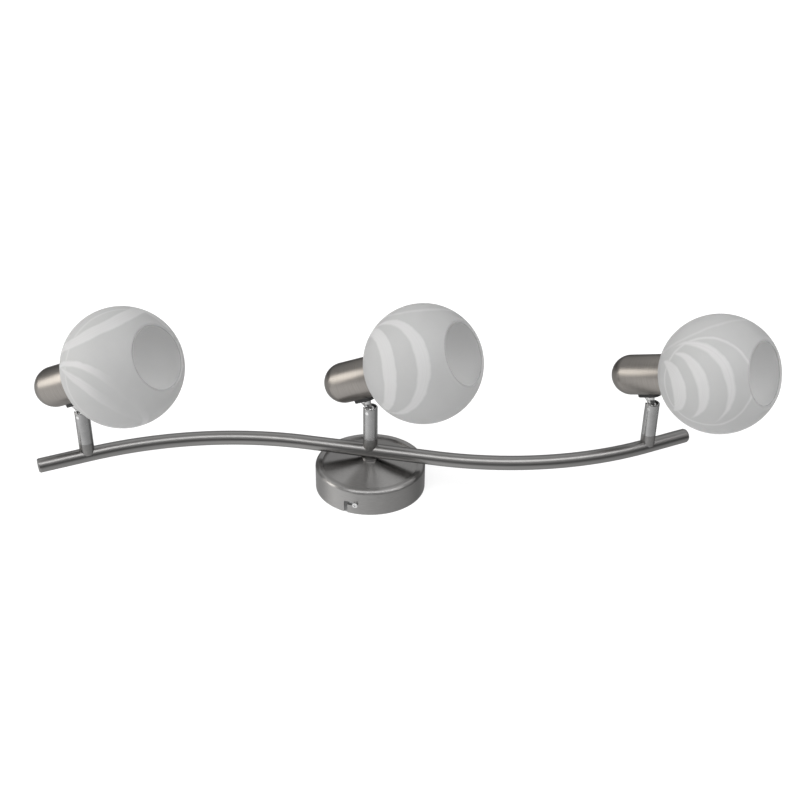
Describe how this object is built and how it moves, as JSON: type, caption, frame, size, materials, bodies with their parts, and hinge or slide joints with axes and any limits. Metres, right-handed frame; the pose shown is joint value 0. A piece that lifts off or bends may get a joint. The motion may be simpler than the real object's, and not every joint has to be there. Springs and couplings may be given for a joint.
{
  "type": "spotlight bar",
  "caption": "Spotlight bar for a wall or ceiling: a round canopy, an S-bent tube and swivelling, tilting lamp heads with open globe shades of frosted alabaster glass.",
  "frame": {"origin": "middle of the canopy's back plane, where it meets the wall or ceiling", "axes": "+X along the row of stems, to the right in the picture; +Z away from the wall"},
  "size_m": [0.6421, 0.1418, 0.1901],
  "materials": {
    "satin_nickel": "satin brushed nickel plate",
    "bright_chrome": "bright satin chrome plate",
    "alabaster_glass": "frosted opal glass with pale alabaster swirls",
    "zinc_steel": "zinc plated steel",
    "white_nylon": "moulded nylon",
    "brass": "turned brass",
    "black_phenolic": "moulded phenolic",
    "wire_sleeve": "woven sleeve over the wires"
  },
  "bodies": {
    "fixture": {"bar_nipple": "zinc_steel", "bar_saddle": "satin_nickel", "bar_tube": "satin_nickel", "canopy": "satin_nickel", "canopy_screws": "bright_chrome", "earth_screw": "zinc_steel", "end_plugs": "satin_nickel", "friction_washers": "white_nylon", "mounting_bracket": "zinc_steel", "nipple_nut": "zinc_steel", "nipple_washer": "zinc_steel", "retaining_rings": "zinc_steel", "stem_collars": "satin_nickel", "stem_pivots": "zinc_steel", "terminal_block": "white_nylon", "terminal_screws": "brass", "wiring_loom": "wire_sleeve"},
    "left_swivel": {"left_brake_pad": "white_nylon", "left_brake_spring": "zinc_steel", "left_stem": "bright_chrome", "left_tilt_pins": "bright_chrome"},
    "left_head": {"left_cup_pad": "black_phenolic", "left_glass_shade": "alabaster_glass", "left_holder_bracket": "zinc_steel", "left_knuckle": "bright_chrome", "left_lamp_cup": "satin_nickel", "left_lampholder": "black_phenolic", "left_shade_ring": "black_phenolic", "left_stud_nut": "zinc_steel", "left_thread_sleeve": "brass", "left_tip_contact": "brass"},
    "centre_swivel": {"centre_brake_pad": "white_nylon", "centre_brake_spring": "zinc_steel", "centre_stem": "bright_chrome", "centre_tilt_pins": "bright_chrome"},
    "centre_head": {"centre_cup_pad": "black_phenolic", "centre_glass_shade": "alabaster_glass", "centre_holder_bracket": "zinc_steel", "centre_knuckle": "bright_chrome", "centre_lamp_cup": "satin_nickel", "centre_lampholder": "black_phenolic", "centre_shade_ring": "black_phenolic", "centre_stud_nut": "zinc_steel", "centre_thread_sleeve": "brass", "centre_tip_contact": "brass"},
    "right_swivel": {"right_brake_pad": "white_nylon", "right_brake_spring": "zinc_steel", "right_stem": "bright_chrome", "right_tilt_pins": "bright_chrome"},
    "right_head": {"right_cup_pad": "black_phenolic", "right_glass_shade": "alabaster_glass", "right_holder_bracket": "zinc_steel", "right_knuckle": "bright_chrome", "right_lamp_cup": "satin_nickel", "right_lampholder": "black_phenolic", "right_shade_ring": "black_phenolic", "right_stud_nut": "zinc_steel", "right_thread_sleeve": "brass", "right_tip_contact": "brass"}
  },
  "joints": [
    {"name": "left_pan", "type": "hinge", "parent": "fixture", "child": "left_swivel", "pos_m": [-0.2533, 0, 0.05], "axis": [0, 0, 1], "range_deg": [-140.4, 199.6]},
    {"name": "left_tilt", "type": "hinge", "parent": "left_swivel", "child": "left_head", "pos_m": [-0.2533, 0, 0.0777], "axis": [-0.4939, -0.8695, 0], "range_deg": [-26.5, 53.5]},
    {"name": "centre_pan", "type": "hinge", "parent": "fixture", "child": "centre_swivel", "pos_m": [0, 0, 0.05], "axis": [0, 0, 1], "range_deg": [-138.6, 201.4]},
    {"name": "centre_tilt", "type": "hinge", "parent": "centre_swivel", "child": "centre_head", "pos_m": [0, 0, 0.0777], "axis": [-0.521, -0.8536, 0], "range_deg": [-27.1, 52.9]},
    {"name": "right_pan", "type": "hinge", "parent": "fixture", "child": "right_swivel", "pos_m": [0.2533, 0, 0.05], "axis": [0, 0, 1], "range_deg": [-126.1, 213.9]},
    {"name": "right_tilt", "type": "hinge", "parent": "right_swivel", "child": "right_head", "pos_m": [0.2533, 0, 0.0777], "axis": [-0.6934, -0.7206, 0], "range_deg": [-20.7, 59.3]}
  ]
}
